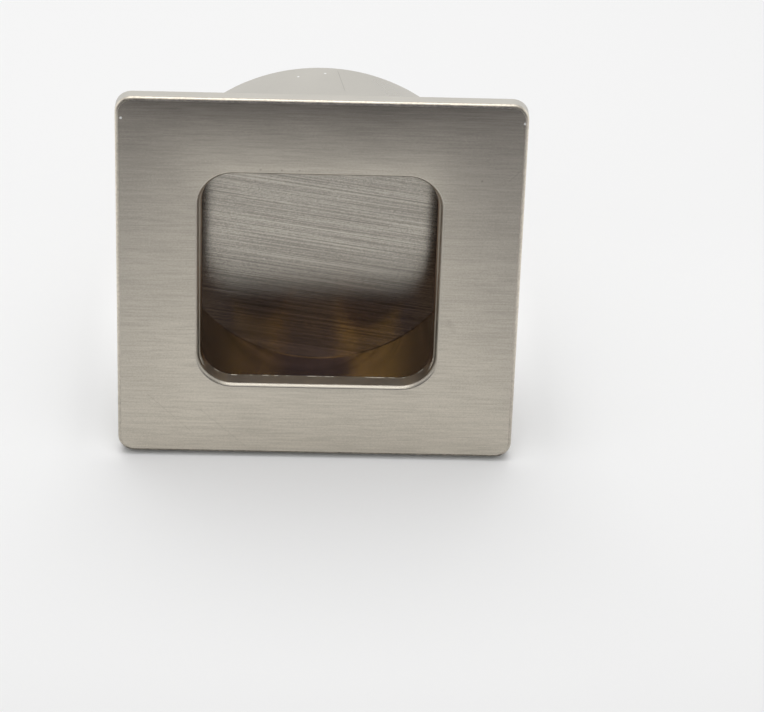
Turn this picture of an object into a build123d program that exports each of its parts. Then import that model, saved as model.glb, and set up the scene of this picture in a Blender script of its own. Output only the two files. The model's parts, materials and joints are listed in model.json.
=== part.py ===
"""Recessed cabinet pull: a square face plate cast in one piece with a round barrel, closed by a back disc.

Millimetres, +Z up. The face plate stands upright and looks towards -Y, the barrel runs into the door
along +Y, and the origin lies on the barrel's axis in the plane of the plate's back face.
"""
from build123d import *
from math import cos, radians, tan
import os

# Driving dimensions: the face plate
plate_side = 60.0
plate_thickness = 2.4
plate_corner_radius = 2.5
plate_edge_radius = 0.5       # polished round along the front edge
plate_back_break = 0.15       # edge break along the back edge

# Driving dimensions: the barrel that goes into the drilled hole
barrel_diameter = 52.8
barrel_length = 16.8          # from the plate's back face to the rear rim
barrel_wall = 3.3             # between the hole's side and the rear end of the round finger space
cavity_draft = 1.0            # degrees by which the finger space widens towards its rear end
rim_break = 0.4               # outer edge of the rear rim
rebate_break = 0.2            # inner edge of the rear rim

# Driving dimensions: the finger window, which narrows from the front to the plate's back face
lip_overhang = 5.4            # how far the lips reach over the finger space, midway along each side
window_corner_radius = 5.0    # at the plate's back face
window_draft = 12.0           # degrees
window_edge_radius = 0.7      # polished round along the window's front edge
cavity_root_radius = 0.2      # between the finger space and the back of the lips

# Driving dimensions: the disc that closes the finger space, and its seat in the rear rim
seat_width = 1.5              # shoulder that the disc's edge rests on
seat_break = 0.2              # inner edge of the shoulder
disc_thickness = 1.5
disc_edge_break = 0.2
disc_clearance = 0.1          # radial gap between the disc and its rebate
disc_recess = 0.2             # the disc lies this far inside the rear rim

# Worked out from the driving dimensions
barrel_radius = barrel_diameter / 2
seat_y = barrel_length - disc_recess - disc_thickness
cavity_radius = barrel_radius - barrel_wall
cavity_slope = radians(cavity_draft)
cavity_front_radius = cavity_radius - (seat_y - seat_break) * tan(cavity_slope)
root_centre_radius = cavity_front_radius + cavity_root_radius * (tan(cavity_slope) - 1 / cos(cavity_slope))
window_side = 2 * (cavity_front_radius - lip_overhang)
rebate_radius = cavity_radius + seat_width
disc_radius = rebate_radius - disc_clearance


def face_plate():
    """The square plate, with its front edge polished round and its back edge broken."""
    outline = Plane.XZ * RectangleRounded(plate_side, plate_side, plate_corner_radius)
    plate = extrude(outline, amount=plate_thickness)
    faces_by_depth = plate.faces().filter_by(Axis.Y).sort_by(Axis.Y)
    plate = fillet(faces_by_depth[0].edges(), plate_edge_radius)
    back_face = plate.faces().filter_by(Axis.Y).sort_by(Axis.Y)[-1]
    return chamfer(back_face.edges(), plate_back_break)


def barrel():
    """The round wall behind the plate, with the disc's rebate turned into its rear end."""
    with BuildPart() as wall:
        with BuildSketch(Plane.XY):
            with BuildLine():
                root = CenterArc(
                    (root_centre_radius, cavity_root_radius), cavity_root_radius, 270, 90 - cavity_draft
                )
                Polyline(
                    root @ 1,
                    (cavity_radius, seat_y - seat_break),
                    (cavity_radius + seat_break, seat_y),
                    (rebate_radius, seat_y),
                    (rebate_radius, barrel_length - rebate_break),
                    (rebate_radius + rebate_break, barrel_length),
                    (barrel_radius - rim_break, barrel_length),
                    (barrel_radius, barrel_length - rim_break),
                    (barrel_radius, 0),
                    root @ 0,
                )
            make_face()
        revolve(axis=Axis.Y)
    return wall.part


def pull_body():
    """Plate and barrel in one casting, pierced by the drafted window."""
    window_outline = Plane.XZ * RectangleRounded(window_side, window_side, window_corner_radius)
    window = extrude(window_outline, amount=plate_thickness, taper=-window_draft)
    body = face_plate() + barrel() - window
    front_face = body.faces().filter_by(Axis.Y).sort_by(Axis.Y)[0]
    return fillet(front_face.inner_wires()[0].edges(), window_edge_radius)


def back_disc():
    """The flat disc that closes the barrel, seated on the shoulder of the rebate."""
    disc = extrude(Plane.XZ.offset(-seat_y) * Circle(disc_radius), amount=-disc_thickness)
    return chamfer(disc.edges().filter_by(GeomType.CIRCLE), disc_edge_break)


nodes = {"pull_body": pull_body(), "back_disc": back_disc()}

os.makedirs("parts", exist_ok=True)
for name, shape in nodes.items():
    shape.label = name
    export_step(shape, f"parts/{name}.step")
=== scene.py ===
import json
from math import atan2, cos, exp, pi, radians, sin, tan

import bpy
from bpy.props import FloatProperty, FloatVectorProperty, PointerProperty
from bpy.types import Operator, Panel, PropertyGroup
from mathutils import Matrix, Vector


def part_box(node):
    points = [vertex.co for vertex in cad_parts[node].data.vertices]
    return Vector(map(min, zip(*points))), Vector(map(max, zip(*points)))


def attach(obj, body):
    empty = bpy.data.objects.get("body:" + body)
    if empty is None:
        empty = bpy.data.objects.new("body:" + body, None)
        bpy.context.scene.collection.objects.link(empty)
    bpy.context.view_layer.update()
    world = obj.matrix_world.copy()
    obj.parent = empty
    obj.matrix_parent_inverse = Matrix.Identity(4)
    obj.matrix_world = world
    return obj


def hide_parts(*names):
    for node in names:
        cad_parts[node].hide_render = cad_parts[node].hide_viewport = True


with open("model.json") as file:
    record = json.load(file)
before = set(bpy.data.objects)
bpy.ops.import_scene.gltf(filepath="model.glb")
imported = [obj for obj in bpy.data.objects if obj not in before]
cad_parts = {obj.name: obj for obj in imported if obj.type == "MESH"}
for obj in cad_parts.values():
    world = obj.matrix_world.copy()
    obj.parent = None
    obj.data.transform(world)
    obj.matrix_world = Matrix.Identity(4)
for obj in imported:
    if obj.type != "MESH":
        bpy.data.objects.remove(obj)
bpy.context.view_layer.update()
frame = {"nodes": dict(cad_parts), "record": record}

bl_info = {
    "name": "Recessed Cabinet Pull",
    "version": (1, 0, 0),
    "blender": (4, 5, 0),
    "location": "3D View > Sidebar > Cabinet Pull",
    "description": "Dresses a brushed nickel cabinet pull and sets it in a white light tent",
    "category": "Object",
}

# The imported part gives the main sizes, in metres
BODY_LOW, BODY_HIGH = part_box("pull_body")
DISC_LOW, DISC_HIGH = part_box("back_disc")
BARREL = next(mount for mount in frame["record"]["mounts"] if mount["name"] == "barrel")
MM = 0.001

# Points round each ring of the casting: on half a straight side, and round a corner
HALF_SIDE_POINTS = 26
CORNER_POINTS = 12
QUARTER_POINTS = 2 * HALF_SIDE_POINTS + CORNER_POINTS
EDGE_STEPS = 10
BEVEL_STEPS = 5
FACE_STEPS = 24
PAPER_STEPS = 16
CARD_STEPS = 12

# In metres: how far the paper and the flat cards reach to each side, where the card at the table's edge
# begins and ends, and how far away the curved cards stand
PAPER_REACH = 3.0
CARD_REACH = 0.6
EDGE_CARD_HEIGHTS = (-0.08, 0.015)
GLOW_DISTANCE = 0.44
CAMERA_DISTANCE = 0.45
SIDE_DISTANCE = 0.46

PHOTO_WIDTH, PHOTO_HEIGHT = 764, 712

# Outlines of the room's warm light as the part sees it: in each row an elevation and two azimuths, in degrees
LEFT_GLOW = ((50, -19, -16), (29, -19, -16), (19, -25.5, -21.5), (12, -28.5, -25))
RIGHT_GLOW = ((50, 21.5, 23.5), (27, 21.5, 23.5), (15, 26, 28), (10, 27.5, 29))

# Polishing has made a bevel of the window's round: each arc's radius, as a share of the round's, and the
# angle in degrees at which it ends
MOUTH_ARCS = ((0.3, 46), (2.2, 64), (0.7, 78))

# Marks of use, in millimetres: ends of scratches and centres of specks on the face, as x and z
FACE_SCRATCHES = (
    ((-25.9, -19.4), (-18.4, -26.7)),
    ((-17.9, -21.9), (-10.1, -29.2)),
    ((27.4, 17.6), (29.4, 19.7)),
)
FACE_SMUDGE = ((19.4, -5.6), (20.7, -8.2))
FACE_DARK_SPECKS = ((23.6, 17.7), (-8.8, 18.7), (-5.7, 18.7), (-3.1, 18.7))
FACE_LIGHT_SPECKS = ((-29.1, 26.7), (29.4, 27.1))

# On top of the barrel, as x and y: the mould's parting line and two specks of dust
PARTING_LINE = ((2.2, 16.0), (3.4, 8.8))
BARREL_DUST = ((-3.6, 13.7), (0.4, 14.5))


def length(name, default, description):
    """A size in metres."""
    return FloatProperty(name=name, description=description, default=default, unit="LENGTH", precision=5)


def angle(name, degrees, description):
    """An angle, given in degrees and kept in radians."""
    return FloatProperty(name=name, description=description, default=radians(degrees), subtype="ANGLE")


def pixels(name, default, description):
    """A distance in pixels of the photograph."""
    return FloatProperty(name=name, description=description, default=default, subtype="PIXEL")


def share(name, default, description):
    """A plain factor."""
    return FloatProperty(name=name, description=description, default=default, subtype="FACTOR", min=0)


def colour(name, default, description):
    """A linear colour."""
    return FloatVectorProperty(
        name=name, description=description, default=default, subtype="COLOR", size=3, min=0, max=1
    )


class PullSizes(PropertyGroup):
    """The casting's section, and the wear that polishing leaves along its edges."""

    plate_side: length("Plate side", BODY_HIGH.x - BODY_LOW.x, "Side of the square face plate")
    plate_thickness: length("Plate thickness", -BODY_LOW.y, "From the seating face to the front")
    plate_corner: length("Plate corner", 2.5 * MM, "Corner radius of the plate's outline")
    plate_edge: length("Plate edge", 0.5 * MM, "Polished round along the front edge")
    plate_back_break: length("Back break", 0.15 * MM, "Edge break along the back edge")
    barrel_radius: length("Barrel radius", BARREL["dims"]["r_mm"] * MM, "Outside radius of the barrel")
    barrel_length: length("Barrel length", BODY_HIGH.y, "From the seating face to the rear rim")
    barrel_wall: length("Barrel wall", 3.3 * MM, "Wall round the rear end of the finger space")
    cavity_draft: angle("Cavity draft", 1, "By how much the finger space widens towards its rear end")
    rim_break: length("Rim break", 0.4 * MM, "Outer edge of the rear rim")
    rebate_break: length("Rebate break", 0.2 * MM, "Inner edge of the rear rim")
    lip_overhang: length("Lip overhang", 5.4 * MM, "Reach of the lips over the finger space")
    window_corner: length("Window corner", 5.0 * MM, "Corner radius of the window at the seating face")
    corner_growth: share("Corner growth", 0.65, "How much the corner radius grows as the window widens")
    window_draft: angle("Window draft", 12, "Slope of the window's walls")
    window_edge: length("Window edge", 0.7 * MM, "Polished round along the window's front edge")
    root_radius: length("Root radius", 0.2 * MM, "Between the finger space and the back of the lips")
    seat_depth: length("Seat depth", DISC_LOW.y, "From the seating face to the disc's shoulder")
    seat_width: length("Seat width", 1.5 * MM, "Width of the disc's shoulder")
    seat_break: length("Seat break", 0.2 * MM, "Inner edge of the disc's shoulder")
    window_roll: length("Window roll", 0.125 * MM, "How far the face falls off towards the window")
    window_roll_reach: length("Window roll reach", 1.4 * MM, "Distance over which it does so")
    outer_roll: length("Outer roll", 0.04 * MM, "How far the face falls off towards its outer edge")
    outer_roll_reach: length("Outer roll reach", 2.2 * MM, "Distance over which it does so")


class PullFinishes(PropertyGroup):
    """Colours of the metal and of what lies on it."""

    nickel: colour("Nickel", (0.553, 0.509, 0.433), "Brushed nickel of the face plate")
    mouth: colour("Mouth", (0.575, 0.535, 0.46), "Polished nickel round the window")
    satin: colour("Satin nickel", (0.535, 0.515, 0.47), "Nickel of the barrel and the plate's back")
    recess: colour("Recess", (0.45, 0.295, 0.18), "Thin, tarnished plating inside the finger space")
    disc: colour("Disc", (0.58, 0.542, 0.468), "Coarsely brushed nickel of the back disc")
    dust: colour("Dust", (0.85, 0.85, 0.84), "Specks of dust")


class StageSettings(PropertyGroup):
    """The light tent and the photograph's camera."""

    floor: colour("Floor", (0.90, 0.90, 0.90), "White paper under the part")
    walls: share("Wall light", 0.19, "Light from the tent's sides")
    ceiling: share("Ceiling light", 1.4, "Light that the front of the tent's top adds")
    shade: share("Front shade", 0.25, "How much less light the paper gets 150 mm in front of the plate")
    softbox: share("Softbox", 2.35, "Radiance of the lamp above")
    paper_dip: length("Paper dip", 0.18 * MM, "How far the paper sags under the part")
    table_edge: length("Table edge", 208 * MM, "Where the white paper ends, in front of the plate")
    dark: colour("Dark room", (0.195, 0.19, 0.205), "Card beyond the table's edge")
    camera_side: colour("Camera side", (0.09, 0.105, 0.3), "Card where the camera stands")
    left_side: colour("Left side", (0.18, 0.18, 0.22), "Card on the camera's left")
    right_side: colour("Right side", (0.19, 0.19, 0.22), "Card on the camera's right")
    warm: colour("Warm room", (1.0, 0.87, 0.28), "Light of the room on both sides of the camera")
    glow: share("Warm glow", 2.6, "How bright that light is")
    pitch: angle("Pitch", 30.39, "How far the camera looks down on the plate")
    yaw: angle("Yaw", 1.62, "How far the camera looks to the right")
    roll: angle("Roll", 1.96, "How far the camera is tilted about its view")
    distance: length("Distance", 504.2 * MM, "From the camera to the part's origin, along the view")
    focal_pixels: pixels("Focal length", 3379, "Focal length of the camera")
    origin_across: pixels("Origin across", 318.5, "From the photograph's left side to the part's origin")
    origin_down: pixels("Origin down", 275.55, "From the photograph's upper side to the part's origin")


class Signal:
    """One socket of a material. Arithmetic on it adds Math nodes."""

    def __init__(self, finish, socket):
        self.finish = finish
        self.socket = socket

    def math(self, operation, *operands):
        """A Math node on this signal and the operands."""
        sockets = dict(enumerate((self, *operands)))
        return self.finish.node("ShaderNodeMath", {"operation": operation}, sockets)

    def __add__(self, other):
        return self.math("ADD", other)

    def __sub__(self, other):
        return self.math("SUBTRACT", other)

    def __rsub__(self, other):
        return self * -1 + other

    def __mul__(self, other):
        return self.math("MULTIPLY", other)

    def __truediv__(self, other):
        return self.math("DIVIDE", other)

    def __rtruediv__(self, other):
        return self.math("POWER", -1) * other

    def __abs__(self):
        return self.math("ABSOLUTE")

    __radd__ = __add__
    __rmul__ = __mul__

    def ramp(self, low, high):
        """0 up to low, 1 from high on, and smooth between them. With low above high it falls."""
        return self.finish.node(
            "ShaderNodeMapRange", {"interpolation_type": "SMOOTHSTEP"},
            {"Value": self, "From Min": low, "From Max": high},
        )


class Finish:
    """The nodes of a new material or world."""

    def __init__(self, owner):
        self.owner = owner
        self.owner.use_nodes = True
        self.tree = self.owner.node_tree
        self.tree.nodes.clear()

    def node(self, kind, settings=None, sockets=None, output=0):
        """Adds a node with its settings and its sockets' values or links, and gives one of its outputs."""
        made = self.tree.nodes.new(kind)
        for name, value in (settings or {}).items():
            setattr(made, name, value)
        for key, value in (sockets or {}).items():
            if isinstance(value, Signal):
                self.tree.links.new(value.socket, made.inputs[key])
            else:
                made.inputs[key].default_value = value
        return Signal(self, made.outputs[output]) if made.outputs else None

    def vector(self, operation, *operands, output=0):
        """A Vector Math node on the operands."""
        return self.node("ShaderNodeVectorMath", {"operation": operation}, dict(enumerate(operands)), output)

    def place(self):
        """The point on the surface, in millimetres of the part's frame."""
        point = self.node("ShaderNodeTexCoord", output="Object")
        return self.vector("MULTIPLY", point, (1 / MM,) * 3)

    def axis(self, point, name):
        """The point's X, Y or Z."""
        return self.node("ShaderNodeSeparateXYZ", sockets={"Vector": point}, output=name)

    def noise(self, point, size, detail=2.0, roughness=0.5):
        """Noise from 0 to 1 with features of that size along X, Y and Z, in the units of point."""
        stretched = self.vector("DIVIDE", point, size)
        sockets = {"Vector": stretched, "Scale": 1.0, "Detail": detail, "Roughness": roughness}
        return self.node("ShaderNodeTexNoise", sockets=sockets)

    def scratch(self, x, y, ends, width):
        """1 along a straight mark between two points, 0 away from it."""
        start = Vector(ends[0])
        run = Vector(ends[1]) - start
        along = ((x - start.x) * run.x + (y - start.y) * run.y) / run.length_squared
        aside = abs((y - start.y) * run.x - (x - start.x) * run.y) / run.length
        return aside.ramp(width, 0.0) * along.ramp(0.0, 0.1) * along.ramp(1.0, 0.9)

    def speck(self, x, y, centre, radius):
        """1 in a round spot, 0 outside it."""
        square = (x - centre[0]) * (x - centre[0]) + (y - centre[1]) * (y - centre[1])
        return square.ramp(radius * radius, radius * radius / 4)

    def mix(self, factor, first, second):
        """From the first colour, at factor 0, to the second, at factor 1."""
        sockets = {0: factor, 6: first, 7: second}
        return self.node("ShaderNodeMix", {"data_type": "RGBA"}, sockets, 2)

    def bump(self, height, depth):
        """Normal of a surface whose height, from 0 to 1, stands for that depth in metres."""
        return self.node("ShaderNodeBump", sockets={"Strength": 1.0, "Distance": depth, "Height": height})

    def surface(self, **sockets):
        """Ends the material in a Principled shader with these sockets, written with _ for a space."""
        named = {key.replace("_", " "): value for key, value in sockets.items()}
        shader = self.node("ShaderNodeBsdfPrincipled", sockets=named)
        self.node("ShaderNodeOutputMaterial", sockets={"Surface": shader})
        return self.owner


def rgba(rgb, gain=1.0):
    """A colour with alpha, made lighter or darker."""
    return (*(channel * gain for channel in rgb), 1.0)


def brushed_face(finishes):
    """Fine level brush lines on nickel, coarser towards the sides, with scratches, a smudge and specks."""
    finish = Finish(bpy.data.materials.new("brushed_nickel_face"))
    point = finish.place()
    x = finish.axis(point, "X")
    z = finish.axis(point, "Z")
    fine = finish.noise(point, (4.5, 4.5, 0.2), 1.5)
    broad = finish.noise(point, (20.0, 20.0, 0.6), 2.0)
    blotch = finish.noise(point, (11.0, 11.0, 7.0), 2.0)
    grit = finish.noise(point, (0.26, 0.26, 0.26), 1.0)
    lines = fine * 0.75 + broad * 0.25
    marks = finish.scratch(x, z, FACE_SMUDGE, 0.8) * 0.5
    for ends in FACE_SCRATCHES:
        marks = marks + finish.scratch(x, z, ends, 0.16) * 0.7
    for centre in FACE_DARK_SPECKS:
        marks = marks + finish.speck(x, z, centre, 0.2) * 2.0
    dust = sum(finish.speck(x, z, centre, 0.25) for centre in FACE_LIGHT_SPECKS)
    tone = lines * 0.55 + blotch * 0.15 + grit * 0.3
    shade = tone.ramp(0.3, 0.7) - marks * 0.4
    base = finish.mix(shade, rgba(finishes.nickel, 0.86), rgba(finishes.nickel, 1.14))
    base = finish.mix(dust, base, rgba(finishes.dust))
    coarser = abs(x).ramp(14.0, 32.0) * 0.02 + x.ramp(5.0, 30.0) * 0.012
    rough = lines * 0.03 + coarser + marks * 0.05 + dust * 0.4 + 0.105
    return finish.surface(
        Base_Color=base, Metallic=1 - dust, Roughness=rough, Anisotropic=0.75, Anisotropic_Rotation=0.25,
        Normal=finish.bump(lines - marks * 0.5, 0.001 * MM),
    )


def worn_edge_with_painted_light(finishes):
    """Plate front edge round, nicked by brushing; painted highlight at the sides, painted shade along the
    bottom.
    """
    finish = Finish(bpy.data.materials.new("worn_nickel_edge_painted_light"))
    point = finish.place()
    nicks = finish.noise(point, (0.5, 0.5, 0.5), 3.0, 0.7)
    rub = finish.noise(point, (4.0, 4.0, 4.0), 2.0)
    z = finish.axis(point, "Z")
    # Painted highlight on the side rounds, fading out towards the bottom, and painted shade on the bottom
    # round
    beside = abs(finish.axis(point, "X")).ramp(28.6, 29.6) * z.ramp(-32.0, 2.0)
    painted_bottom_shade = z.ramp(-28.8, -29.6)
    bright = nicks.ramp(0.3, 0.7) * 0.25 + beside * 0.375 - painted_bottom_shade * 0.4167 + 0.375
    # The nicks' random tone and that painted highlight and shade set the base colour
    base = finish.mix(bright, rgba(finishes.nickel, 0.3), rgba(finishes.nickel, 1.5))
    rough = rub * 0.15 + nicks * 0.2 + 0.2
    return finish.surface(
        Base_Color=base, Metallic=1.0, Roughness=rough, Normal=finish.bump(nicks, 0.03 * MM)
    )


def polished_mouth(finishes):
    """The window's polished edge and the wall behind it.

    At the sides a raised line runs along the wall at mid-depth, painted lighter as a highlight, with painted
    shade behind it in a darker tarnished brown; a broken ridge of flash along the wall's rear end has painted
    glints.
    """
    finish = Finish(bpy.data.materials.new("polished_nickel_mouth"))
    point = finish.place()
    y = finish.axis(point, "Y")
    rub = finish.noise(point, (2.5, 2.5, 2.5), 3.0, 0.6)
    fine = finish.noise(point, (0.3, 0.3, 0.3), 2.0)
    patchy = finish.noise(point, (1.6, 40.0, 40.0), 2.0).ramp(0.52, 0.62) * 0.7
    beside = abs(finish.axis(point, "X")).ramp(16.7, 17.4)
    # A raised line along the side walls at mid-depth, painted lighter as a highlight
    line_mark = y.ramp(-1.45, -1.25) * y.ramp(-0.75, -0.95) * beside
    # Painted shade on the side walls' rear part, in a darker copy of the recess's tarnished brown
    tarnish_and_painted_shade = y.ramp(-0.85, -0.65) * beside
    # The rear ridge and that side line are painted lighter, as glints, and are also rougher and raised
    burr_and_painted_glint = (y.ramp(-0.16, -0.02) * patchy).math("MAXIMUM", line_mark)
    base = finish.mix(rub, rgba(finishes.mouth, 0.92), rgba(finishes.mouth, 1.08))
    base = finish.mix(burr_and_painted_glint, base, rgba(finishes.mouth, 1.3))
    base = finish.mix(tarnish_and_painted_shade, base, rgba(finishes.recess, 0.8))
    rough = rub * 0.08 + fine * 0.06 + y.ramp(-1.75, -1.45) * 0.02 + burr_and_painted_glint * 0.35 + 0.3
    return finish.surface(
        Base_Color=base, Metallic=1.0, Roughness=rough, Normal=finish.bump(fine * 0.02 + burr_and_painted_glint, 0.1 * MM)
    )


def satin_nickel(finishes):
    """The barrel and the plate's back, as plated: an even satin over a faint cast texture."""
    finish = Finish(bpy.data.materials.new("satin_nickel_cast"))
    point = finish.place()
    x = finish.axis(point, "X")
    y = finish.axis(point, "Y")
    on_top = finish.axis(point, "Z").ramp(20.0, 22.0)
    cast = finish.noise(point, (0.5, 0.5, 0.5), 3.0, 0.6)
    cloud = finish.noise(point, (9.0, 9.0, 9.0), 2.0)
    line_mark = finish.scratch(x, y, PARTING_LINE, 0.1) * on_top
    dust = sum(finish.speck(x, y, centre, 0.22) for centre in BARREL_DUST) * on_top
    base = finish.mix(cloud * 0.7 + cast * 0.3, rgba(finishes.satin, 0.9), rgba(finishes.satin, 1.09))
    base = finish.mix(line_mark * 0.35, base, rgba(finishes.satin, 0.35))
    base = finish.mix(dust, base, rgba(finishes.dust))
    rough = cloud * 0.1 + dust * 0.5 - y.ramp(0.0, 0.5) * 0.1 + 0.34
    return finish.surface(
        Base_Color=base, Metallic=1 - dust, Roughness=rough, Normal=finish.bump(cast - line_mark, 0.012 * MM)
    )


def tarnished_recess(finishes):
    """The wall of the finger space, where the plating is thin and brown."""
    finish = Finish(bpy.data.materials.new("tarnished_nickel_recess"))
    point = finish.place()
    turned = finish.noise(point, (3.0, 0.22, 3.0), 3.0, 0.6)
    cloud = finish.noise(point, (6.0, 6.0, 6.0), 2.0)
    base = finish.mix(cloud, rgba(finishes.recess, 0.85), rgba(finishes.recess, 1.15))
    return finish.surface(
        Base_Color=base, Metallic=1.0, Roughness=turned * 0.06 + 0.13, Normal=finish.bump(turned, 0.003 * MM)
    )


def brushed_disc(finishes):
    """Coarse brush lines that slope down to the right."""
    finish = Finish(bpy.data.materials.new("brushed_nickel_disc"))
    slope = radians(8.5)
    point = finish.place()
    turn = {"Vector": point, "Angle": -slope}
    level = finish.node("ShaderNodeVectorRotate", {"rotation_type": "Y_AXIS"}, turn)
    fine = finish.noise(level, (26.0, 26.0, 0.13), 1.0)
    broad = finish.noise(level, (50.0, 50.0, 0.4), 2.0)
    hair = finish.noise(level, (12.0, 12.0, 0.17), 0.0).ramp(0.6, 0.7)
    grit = finish.noise(point, (0.22, 0.22, 0.22), 1.0)
    pits = finish.noise(point, (0.4, 0.4, 0.4), 1.0).ramp(0.74, 0.8)
    lines = fine * 0.82 + broad * 0.18
    tone = lines * 0.68 + grit * 0.32
    shade = tone.ramp(0.34, 0.66) - hair * 0.25 - pits
    base = finish.mix(shade, rgba(finishes.disc, 0.69), rgba(finishes.disc, 1.31))
    return finish.surface(
        Base_Color=base, Metallic=1.0, Roughness=grit * 0.03 + 0.205, Anisotropic=0.9,
        Anisotropic_Rotation=0.25 - slope / (2 * pi), Normal=finish.bump(lines, 0.0005 * MM),
    )


def white_paper(stage):
    """White paper with a faint tooth, painted lighter where the part throws light and darker in front; fades
    far away.
    """
    finish = Finish(bpy.data.materials.new("white_paper_floor"))
    point = finish.place()
    aside = abs(finish.axis(point, "X"))
    y = finish.axis(point, "Y")
    tooth = finish.noise(point, (0.6, 0.6, 0.6), 2.0)
    # Painted light beside the part, standing in for the light its metal sides throw on the paper
    beside = aside.ramp(27.0, 30.0) * aside.ramp(37.0, 30.0) * y.ramp(-5.0, 1.0) * y.ramp(55.0, 20.0)
    far = finish.vector("LENGTH", point, output="Value").ramp(190.0, 480.0)
    base = finish.mix(tooth, rgba(stage.floor, 0.995), rgba(stage.floor, 1.005))
    base = finish.mix(beside, base, (1, 1, 1, 1))
    # Painted shade: the paper darker towards the front
    base = finish.mix(y.ramp(-35.0, -85.0), base, rgba(stage.floor, 0.94))
    return finish.surface(Base_Color=base, Roughness=0.9, Specular_IOR_Level=0.0, Alpha=1 - far)


def shaded_paper(stage):
    """The paper in front as the part mirrors it: its light falls off towards the camera and the right."""
    finish = Finish(bpy.data.materials.new("shaded_paper"))
    point = finish.place()
    x = finish.axis(point, "X")
    loss = x.ramp(-40.0, 50.0) * 0.25 + 0.95
    shade = finish.axis(point, "Y") * loss * (stage.shade / -150.0) + abs(x).ramp(20.0, 42.0) * 0.1
    base = finish.mix(shade, rgba(stage.floor), (0, 0.01, 0.06, 1))
    return finish.surface(Base_Color=base, Roughness=0.9, Specular_IOR_Level=0.0)


def card_stock(name, shade):
    """Matt card of one shade, with a faint tooth."""
    finish = Finish(bpy.data.materials.new(name))
    tooth = finish.noise(finish.place(), (20.0, 20.0, 20.0), 2.0)
    base = finish.mix(tooth, rgba(shade, 0.95), rgba(shade, 1.05))
    return finish.surface(Base_Color=base, Roughness=0.9, Specular_IOR_Level=0.0)


def warm_glow(stage):
    """Warm light of the room on both sides of the camera, brighter higher up."""
    finish = Finish(bpy.data.materials.new("warm_glow"))
    point = finish.place()
    haze = finish.noise(point, (20.0, 20.0, 20.0), 2.0)
    height = finish.axis(point, "Z").ramp(200.0, 270.0)
    glow = finish.mix(haze * 0.1 + height * 0.9, rgba(stage.warm, 0.45), rgba(stage.warm))
    return finish.surface(Base_Color=(0, 0, 0, 1), Emission_Color=glow, Emission_Strength=stage.glow)


def square_ring(half, corner, depth):
    """Points round a rounded square, from the middle of its right side, facing the front."""
    flat = half - corner
    steps = [k / HALF_SIDE_POINTS for k in range(HALF_SIDE_POINTS)]
    turns = [k / CORNER_POINTS * pi / 2 for k in range(CORNER_POINTS)]
    quarter = [(half, flat * step) for step in steps]
    quarter += [(flat + corner * cos(turn), flat + corner * sin(turn)) for turn in turns]
    quarter += [(flat * (1 - step), half) for step in steps]
    sides = [Matrix.Rotation(-k * pi / 2, 3, "Y") for k in range(4)]
    return [side @ Vector((x, depth, z)) for side in sides for x, z in quarter]


def round_ring(radius, depth):
    """As many points round a circle."""
    count = 4 * QUARTER_POINTS
    turns = [2 * pi * k / count for k in range(count)]
    return [Vector((radius * cos(turn), depth, radius * sin(turn))) for turn in turns]


def bevel(radius, turn):
    """Points along the window's polished edge, each as the distance from its start, across and down."""
    points = []
    across = down = 0
    for scale, end in MOUTH_ARCS:
        arc = radius * scale
        step = (radians(end) - turn) / BEVEL_STEPS
        for _ in range(BEVEL_STEPS):
            across += arc * (sin(turn + step) - sin(turn))
            down += arc * (cos(turn) - cos(turn + step))
            turn += step
            points.append((across, down))
    return points


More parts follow.
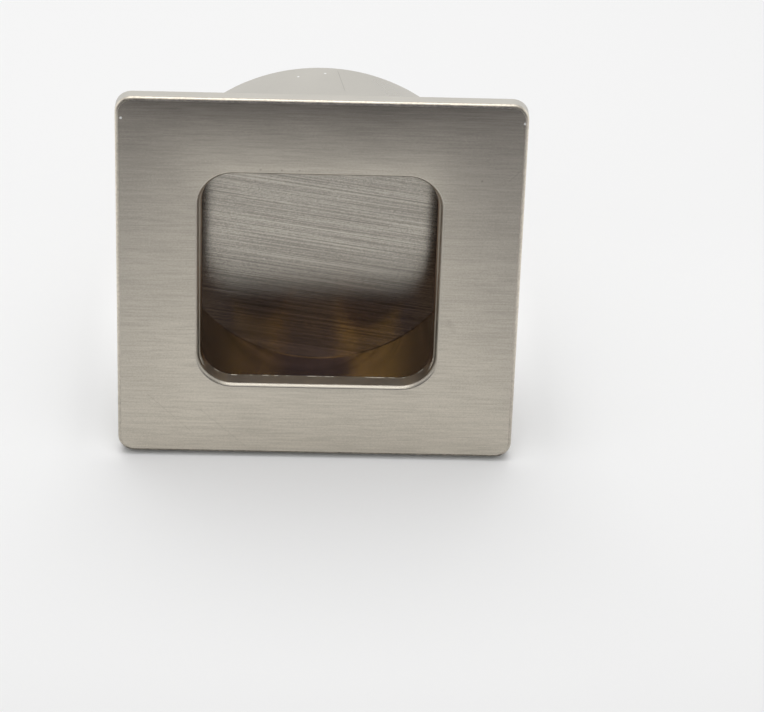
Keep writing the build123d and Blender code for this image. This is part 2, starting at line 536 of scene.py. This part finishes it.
def casting_section(s):
    """The rings of the casting in order, each with the finish of the strip that leads to it.

    The section starts at the outer end of the front face, goes in through the window, back along the finger
    space, round the rear rim, forward along the barrel, out along the plate's back and round to the start.
    """
    front = -s.plate_thickness
    half = s.plate_side / 2
    cavity = s.barrel_radius - s.barrel_wall
    cavity_front = cavity - (s.seat_depth - s.seat_break) * tan(s.cavity_draft)
    root_centre = cavity_front + s.root_radius * (tan(s.cavity_draft) - 1 / cos(s.cavity_draft))
    window = cavity_front - s.lip_overhang
    rebate = cavity + s.seat_width
    mouth_profile = bevel(s.window_edge, atan2(s.window_roll, s.window_roll_reach))
    mouth_width, mouth_depth = mouth_profile[-1]
    mouth = window - tan(s.window_draft) * (front + s.window_roll + mouth_depth) + mouth_width
    mouth_corner = s.window_corner + (mouth - window) * s.corner_growth
    rings = []

    def plate_ring(inset, depth, finish):
        rings.append((square_ring(half - inset, s.plate_corner - inset, depth), finish))

    def window_ring(spread, depth, finish):
        corner = s.window_corner + spread * s.corner_growth
        rings.append((square_ring(window + spread, corner, depth), finish))

    def barrel_ring(radius, depth, finish):
        rings.append((round_ring(radius, depth), finish))

    # Front face: level in the middle and rolling off towards both edges, where the rings lie close together
    face_width = half - s.plate_edge - mouth
    for k in range(FACE_STEPS + 1):
        way = (1 - cos(pi * k / FACE_STEPS)) / 2
        side = half - s.plate_edge - face_width * way
        corner = (s.plate_corner - s.plate_edge) * (1 - way) + mouth_corner * way
        drop = s.outer_roll * exp(-face_width * way / s.outer_roll_reach)
        drop += s.window_roll * exp(-face_width * (1 - way) / s.window_roll_reach)
        rings.append((square_ring(side, corner, front + drop), "face"))

    # Window: its polished edge, then the drafted wall
    for aside, deeper in mouth_profile:
        window_ring(mouth - window - aside, front + s.window_roll + deeper, "mouth")
    window_ring(0, 0, "mouth")

    # Finger space, the disc's shoulder and the rear rim
    for k in range(EDGE_STEPS // 2 + 1):
        turn = (pi / 2 - s.cavity_draft) * k / (EDGE_STEPS // 2)
        barrel_ring(root_centre + s.root_radius * sin(turn), s.root_radius * (1 - cos(turn)), "recess")
    barrel_ring(cavity, s.seat_depth - s.seat_break, "recess")
    barrel_ring(cavity + s.seat_break, s.seat_depth, "recess")
    barrel_ring(rebate, s.seat_depth, "recess")
    barrel_ring(rebate, s.barrel_length - s.rebate_break, "satin")
    barrel_ring(rebate + s.rebate_break, s.barrel_length, "satin")
    barrel_ring(s.barrel_radius - s.rim_break, s.barrel_length, "satin")
    barrel_ring(s.barrel_radius, s.barrel_length - s.rim_break, "satin")
    barrel_ring(s.barrel_radius, 0, "satin")

    # The plate's back, its sides and its polished front edge
    plate_ring(s.plate_back_break, 0, "satin")
    plate_ring(0, -s.plate_back_break, "satin")
    plate_ring(0, front + s.outer_roll + s.plate_edge, "satin")
    for k in range(1, EDGE_STEPS):
        turn = pi / 2 * k / EDGE_STEPS
        depth = front + s.outer_roll + s.plate_edge * (1 - sin(turn))
        plate_ring(s.plate_edge * (1 - cos(turn)), depth, "edge")
    rings[0] = (rings[0][0], "edge")
    return rings


def loft_closed(name, rings, finishes):
    """A mesh skinned over rings that lead back to the first one, with a finish for each strip."""
    count = len(rings[0][0])
    points = [point for ring, _ in rings for point in ring]
    slots = list(finishes)
    faces = []
    slot_of_face = []
    for k, (_, finish) in enumerate(rings):
        before = (k - 1) % len(rings) * count
        here = k * count
        for j in range(count):
            after = (j + 1) % count
            faces.append((before + j, before + after, here + after, here + j))
            slot_of_face.append(slots.index(finish))
    mesh = bpy.data.meshes.new(name)
    mesh.from_pydata(points, [], faces)
    for finish in slots:
        mesh.materials.append(finishes[finish])
    mesh.polygons.foreach_set("material_index", slot_of_face)
    mesh.shade_smooth()
    mesh.set_sharp_from_angle(angle=radians(28))
    mesh.validate()
    return mesh


def add_object(data):
    """Puts a mesh, lamp or camera into the scene under its own name."""
    made = bpy.data.objects.new(data.name, data)
    bpy.context.scene.collection.objects.link(made)
    return made


class PULL_OT_casting(Operator):
    """Builds the casting with its rolled face and gives it its finishes"""

    bl_idname = "cabinet_pull.casting"
    bl_label = "Casting"

    def execute(self, context):
        finishes = context.scene.pull_finishes
        by_name = {
            "face": brushed_face(finishes),
            "edge": worn_edge_with_painted_light(finishes),
            "mouth": polished_mouth(finishes),
            "recess": tarnished_recess(finishes),
            "satin": satin_nickel(finishes),
        }
        rings = casting_section(context.scene.pull_sizes)
        casting = add_object(loft_closed("pull_casting", rings, by_name))
        weighted = casting.modifiers.new("even_shading", "WEIGHTED_NORMAL")
        weighted.keep_sharp = True
        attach(casting, "root")
        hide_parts("pull_body")
        return {"FINISHED"}


class PULL_OT_disc(Operator):
    """Gives the back disc its coarse brushing"""

    bl_idname = "cabinet_pull.disc"
    bl_label = "Back disc"

    def execute(self, context):
        disc = frame["nodes"]["back_disc"]
        disc.data.materials.clear()
        disc.data.materials.append(brushed_disc(context.scene.pull_finishes))
        return {"FINISHED"}


def strip(name, points, material):
    """A mesh of one strip of faces, between points that come in pairs."""
    faces = [(k, k + 1, k + 3, k + 2) for k in range(0, len(points) - 2, 2)]
    mesh = bpy.data.meshes.new(name)
    mesh.from_pydata(points, [], faces)
    mesh.materials.append(material)
    return mesh


def reflected_card(name, points, material):
    """A card that shows in reflections, and that neither the camera nor the paper sees."""
    card = add_object(strip(name, points, material))
    card.visible_camera = False
    card.visible_diffuse = False
    card.visible_shadow = False


def paper_height(stage, sizes, y):
    """The part leans back until its barrel touches the paper, so the paper slopes in the part's frame."""
    slope = (sizes.plate_side / 2 - sizes.barrel_radius) / (sizes.barrel_length - sizes.rim_break)
    return y * slope - sizes.plate_side / 2 - stage.paper_dip


def seen_at(azimuth, elevation, distance):
    """The point in front of the part that is seen from the origin in that direction, in degrees."""
    turn = radians(azimuth)
    return distance * Vector((sin(turn), -cos(turn), tan(radians(elevation))))


def curved_card(name, distance, azimuths, elevations, material):
    """A card bent round the part, between two azimuths and two elevations."""
    points = []
    for k in range(CARD_STEPS + 1):
        azimuth = azimuths[0] + (azimuths[1] - azimuths[0]) * k / CARD_STEPS
        points += [seen_at(azimuth, elevation, distance) for elevation in elevations]
    reflected_card(name, points, material)


class PULL_OT_stage(Operator):
    """Sets the part on white paper in a light tent and puts up the camera"""

    bl_idname = "cabinet_pull.stage"
    bl_label = "Light tent"

    def execute(self, context):
        stage = context.scene.pull_stage
        sizes = context.scene.pull_sizes
        self.lay_paper(stage, sizes)
        self.stand_cards(stage, sizes)
        self.light_tent(context.scene, stage)
        self.hang_softbox(stage)
        self.put_up_camera(context.scene, stage)
        return {"FINISHED"}

    def lay_paper(self, stage, sizes):
        """One sheet that slopes as far as the barrel's rim and bends level behind it."""
        bend_start = sizes.barrel_length - sizes.rim_break + 5 * MM
        bend_length = 40 * MM
        profile = [(-PAPER_REACH, paper_height(stage, sizes, -PAPER_REACH))]
        for k in range(PAPER_STEPS + 1):
            along = k / PAPER_STEPS
            rising = bend_start + bend_length * (along - along * along / 2)
            profile.append((bend_start + bend_length * along, paper_height(stage, sizes, rising)))
        profile.append((PAPER_REACH, profile[-1][1]))
        points = [Vector((x, y, z)) for y, z in profile for x in (-PAPER_REACH, PAPER_REACH)]
        sheet = strip("white_paper", points, white_paper(stage))
        sheet.shade_smooth()
        add_object(sheet)

    def stand_cards(self, stage, sizes):
        """The room as the part mirrors it.

        The paper ends at the table's edge and the room beyond is dark. Above it come the dark side where the
        camera stands, the room's warm light to its left and right, and the grey sides of the room.
        """
        sides = (-CARD_REACH, CARD_REACH)
        above_paper = 0.05 * MM
        front = [
            Vector((x, y, paper_height(stage, sizes, y) + above_paper))
            for y in (0, -stage.table_edge) for x in sides
        ]
        reflected_card("front_paper", front, shaded_paper(stage))
        edge = [Vector((x, -stage.table_edge, z)) for x in sides for z in EDGE_CARD_HEIGHTS]
        reflected_card("table_edge_card", edge, card_stock("dark_room", stage.dark))
        warm = warm_glow(stage)
        for name, rows in (("left_glow", LEFT_GLOW), ("right_glow", RIGHT_GLOW)):
            outline = [
                seen_at(azimuth, elevation, GLOW_DISTANCE)
                for elevation, *azimuths in rows for azimuth in azimuths
            ]
            reflected_card(name, outline, warm)
        camera_side = card_stock("camera_side", stage.camera_side)
        left_side = card_stock("left_side", stage.left_side)
        right_side = card_stock("right_side", stage.right_side)
        curved_card("camera_card", CAMERA_DISTANCE, (-25, 27), (5, 44), camera_side)
        curved_card("left_card", SIDE_DISTANCE, (-66, -24), (-4, 50), left_side)
        curved_card("right_card", SIDE_DISTANCE, (26, 66), (-4, 50), right_side)

    def light_tent(self, scene, stage):
        """White all round. Its light comes mostly from the front of its top."""
        tent = Finish(bpy.data.worlds.new("light_tent"))
        ray = tent.node("ShaderNodeTexCoord", output="Generated")
        brightest = radians(68)
        towards = tent.vector("DOT_PRODUCT", ray, (0, -cos(brightest), sin(brightest)), output="Value")
        light = towards.math("MAXIMUM", 0.0).math("POWER", 4.0) * stage.ceiling + stage.walls
        seen = tent.node("ShaderNodeLightPath", output="Is Camera Ray")
        for kind in ("Is Glossy Ray", "Is Transmission Ray"):
            seen = seen.math("MAXIMUM", tent.node("ShaderNodeLightPath", output=kind))
        strength = seen + (1 - seen) * light
        background = tent.node("ShaderNodeBackground", sockets={"Color": (1, 1, 1, 1), "Strength": strength})
        tent.node("ShaderNodeOutputWorld", sockets={"Surface": background})
        scene.world = tent.owner
        scene.view_settings.view_transform = "Standard"

    def hang_softbox(self, stage):
        """A square lamp above the part, which brightens the polished edges."""
        side = 0.5
        lamp = bpy.data.lights.new("softbox", "AREA")
        lamp.shape = "SQUARE"
        lamp.size = side
        lamp.energy = stage.softbox * pi * side * side
        add_object(lamp).location = (-0.04, 0.1, 0.6)

    def put_up_camera(self, scene, stage):
        """The camera that sees the part's origin at its pixel of the photograph."""
        forward = Vector((sin(stage.yaw), cos(stage.yaw), 0))
        ahead = forward * cos(stage.pitch) - Vector((0, 0, sin(stage.pitch)))
        level = Vector((cos(stage.yaw), -sin(stage.yaw), 0))
        upright = level.cross(ahead)
        right = level * cos(stage.roll) + upright * sin(stage.roll)
        up = upright * cos(stage.roll) - level * sin(stage.roll)
        per_pixel = stage.distance / stage.focal_pixels
        aside = (stage.origin_across - PHOTO_WIDTH / 2) * per_pixel
        above = (PHOTO_HEIGHT / 2 - stage.origin_down) * per_pixel
        data = bpy.data.cameras.new("photo_camera")
        data.sensor_width = 36.0
        data.lens = data.sensor_width * stage.focal_pixels / PHOTO_WIDTH
        data.clip_start = 0.01
        camera = add_object(data)
        camera.matrix_world = Matrix((right, up, -ahead)).transposed().to_4x4()
        camera.location = -(right * aside + up * above + ahead * stage.distance)
        scene.camera = camera


class VIEW3D_PT_cabinet_pull(Panel):
    """Lists the pull's operators and settings in the sidebar"""

    bl_label = "Cabinet Pull"
    bl_space_type = "VIEW_3D"
    bl_region_type = "UI"
    bl_category = "Cabinet Pull"

    def draw(self, context):
        for made in OPERATORS:
            self.layout.operator(made.bl_idname)
        for group in (context.scene.pull_sizes, context.scene.pull_finishes, context.scene.pull_stage):
            box = self.layout.box()
            for name in group.bl_rna.properties.keys():
                if name not in ("rna_type", "name"):
                    box.prop(group, name)


GROUPS = {"pull_sizes": PullSizes, "pull_finishes": PullFinishes, "pull_stage": StageSettings}
OPERATORS = (PULL_OT_casting, PULL_OT_disc, PULL_OT_stage)
CLASSES = (*GROUPS.values(), *OPERATORS, VIEW3D_PT_cabinet_pull)


def register():
    for cls in CLASSES:
        bpy.utils.register_class(cls)
    for name, group in GROUPS.items():
        setattr(bpy.types.Scene, name, PointerProperty(type=group))


def unregister():
    for name in GROUPS:
        delattr(bpy.types.Scene, name)
    for cls in reversed(CLASSES):
        bpy.utils.unregister_class(cls)


def main():
    register()
    bpy.ops.cabinet_pull.casting()
    bpy.ops.cabinet_pull.disc()
    bpy.ops.cabinet_pull.stage()


if __name__ == "__main__":
    main()
